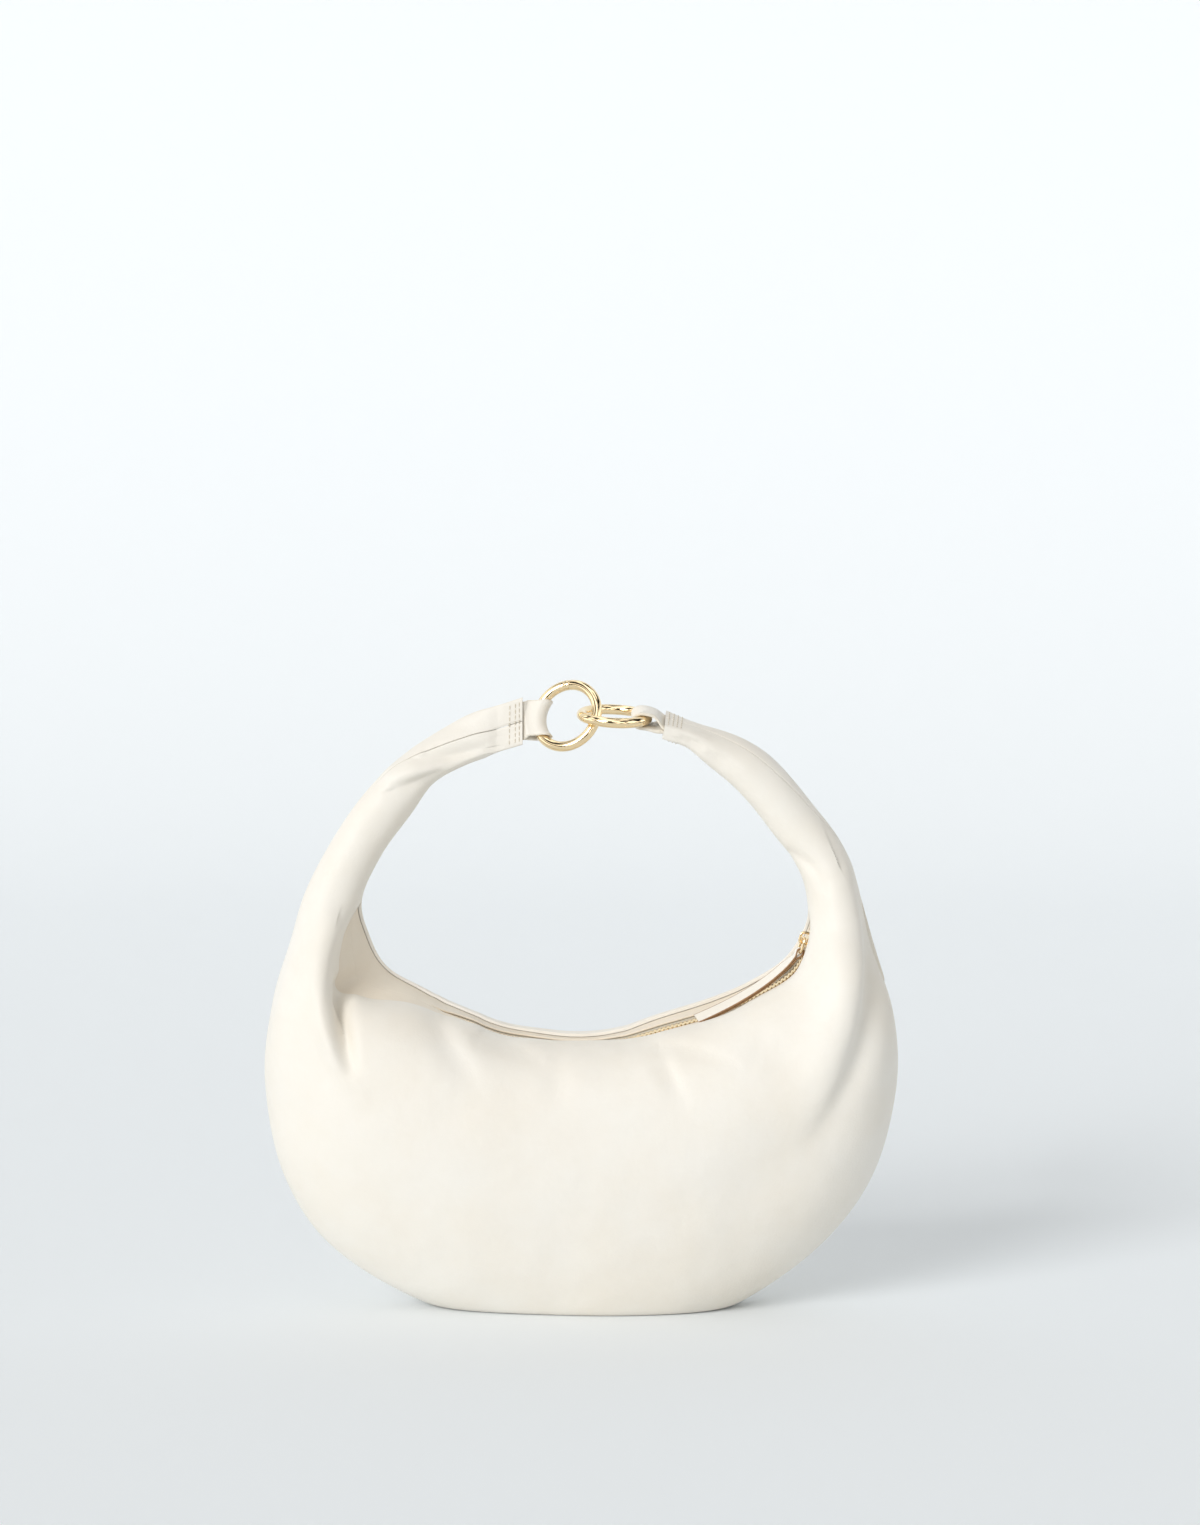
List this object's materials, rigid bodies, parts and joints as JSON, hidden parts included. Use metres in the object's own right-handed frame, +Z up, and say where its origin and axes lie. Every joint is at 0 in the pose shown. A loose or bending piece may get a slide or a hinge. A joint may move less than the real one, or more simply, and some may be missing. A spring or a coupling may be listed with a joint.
{
  "type": "handbag with ring handle",
  "caption": "Soft crescent handbag in pale leather whose arms meet in two linked gold rings, with a zipped mouth and a leather pull.",
  "frame": {"origin": "on the ground under the middle of the bag, where it rests", "axes": "+X to the right for someone facing the front, +Y towards the back, +Z up"},
  "size_m": [0.3401, 0.1113, 0.3388],
  "materials": {
    "leather": "smooth, soft satin",
    "gold_metal": "polished",
    "zip_tape": "woven, matt"
  },
  "bodies": {
    "root": {"front_panel": "leather", "back_panel": "leather", "facing_front": "leather", "facing_back": "leather", "zip_tape_front": "zip_tape", "zip_tape_back": "zip_tape", "zip_teeth": "gold_metal", "zip_slider": "gold_metal", "zip_pull_link": "gold_metal", "zip_pull": "leather", "ring_left": "gold_metal", "ring_right": "gold_metal", "loop_left": "leather", "loop_right": "leather"}
  },
  "joints": []
}
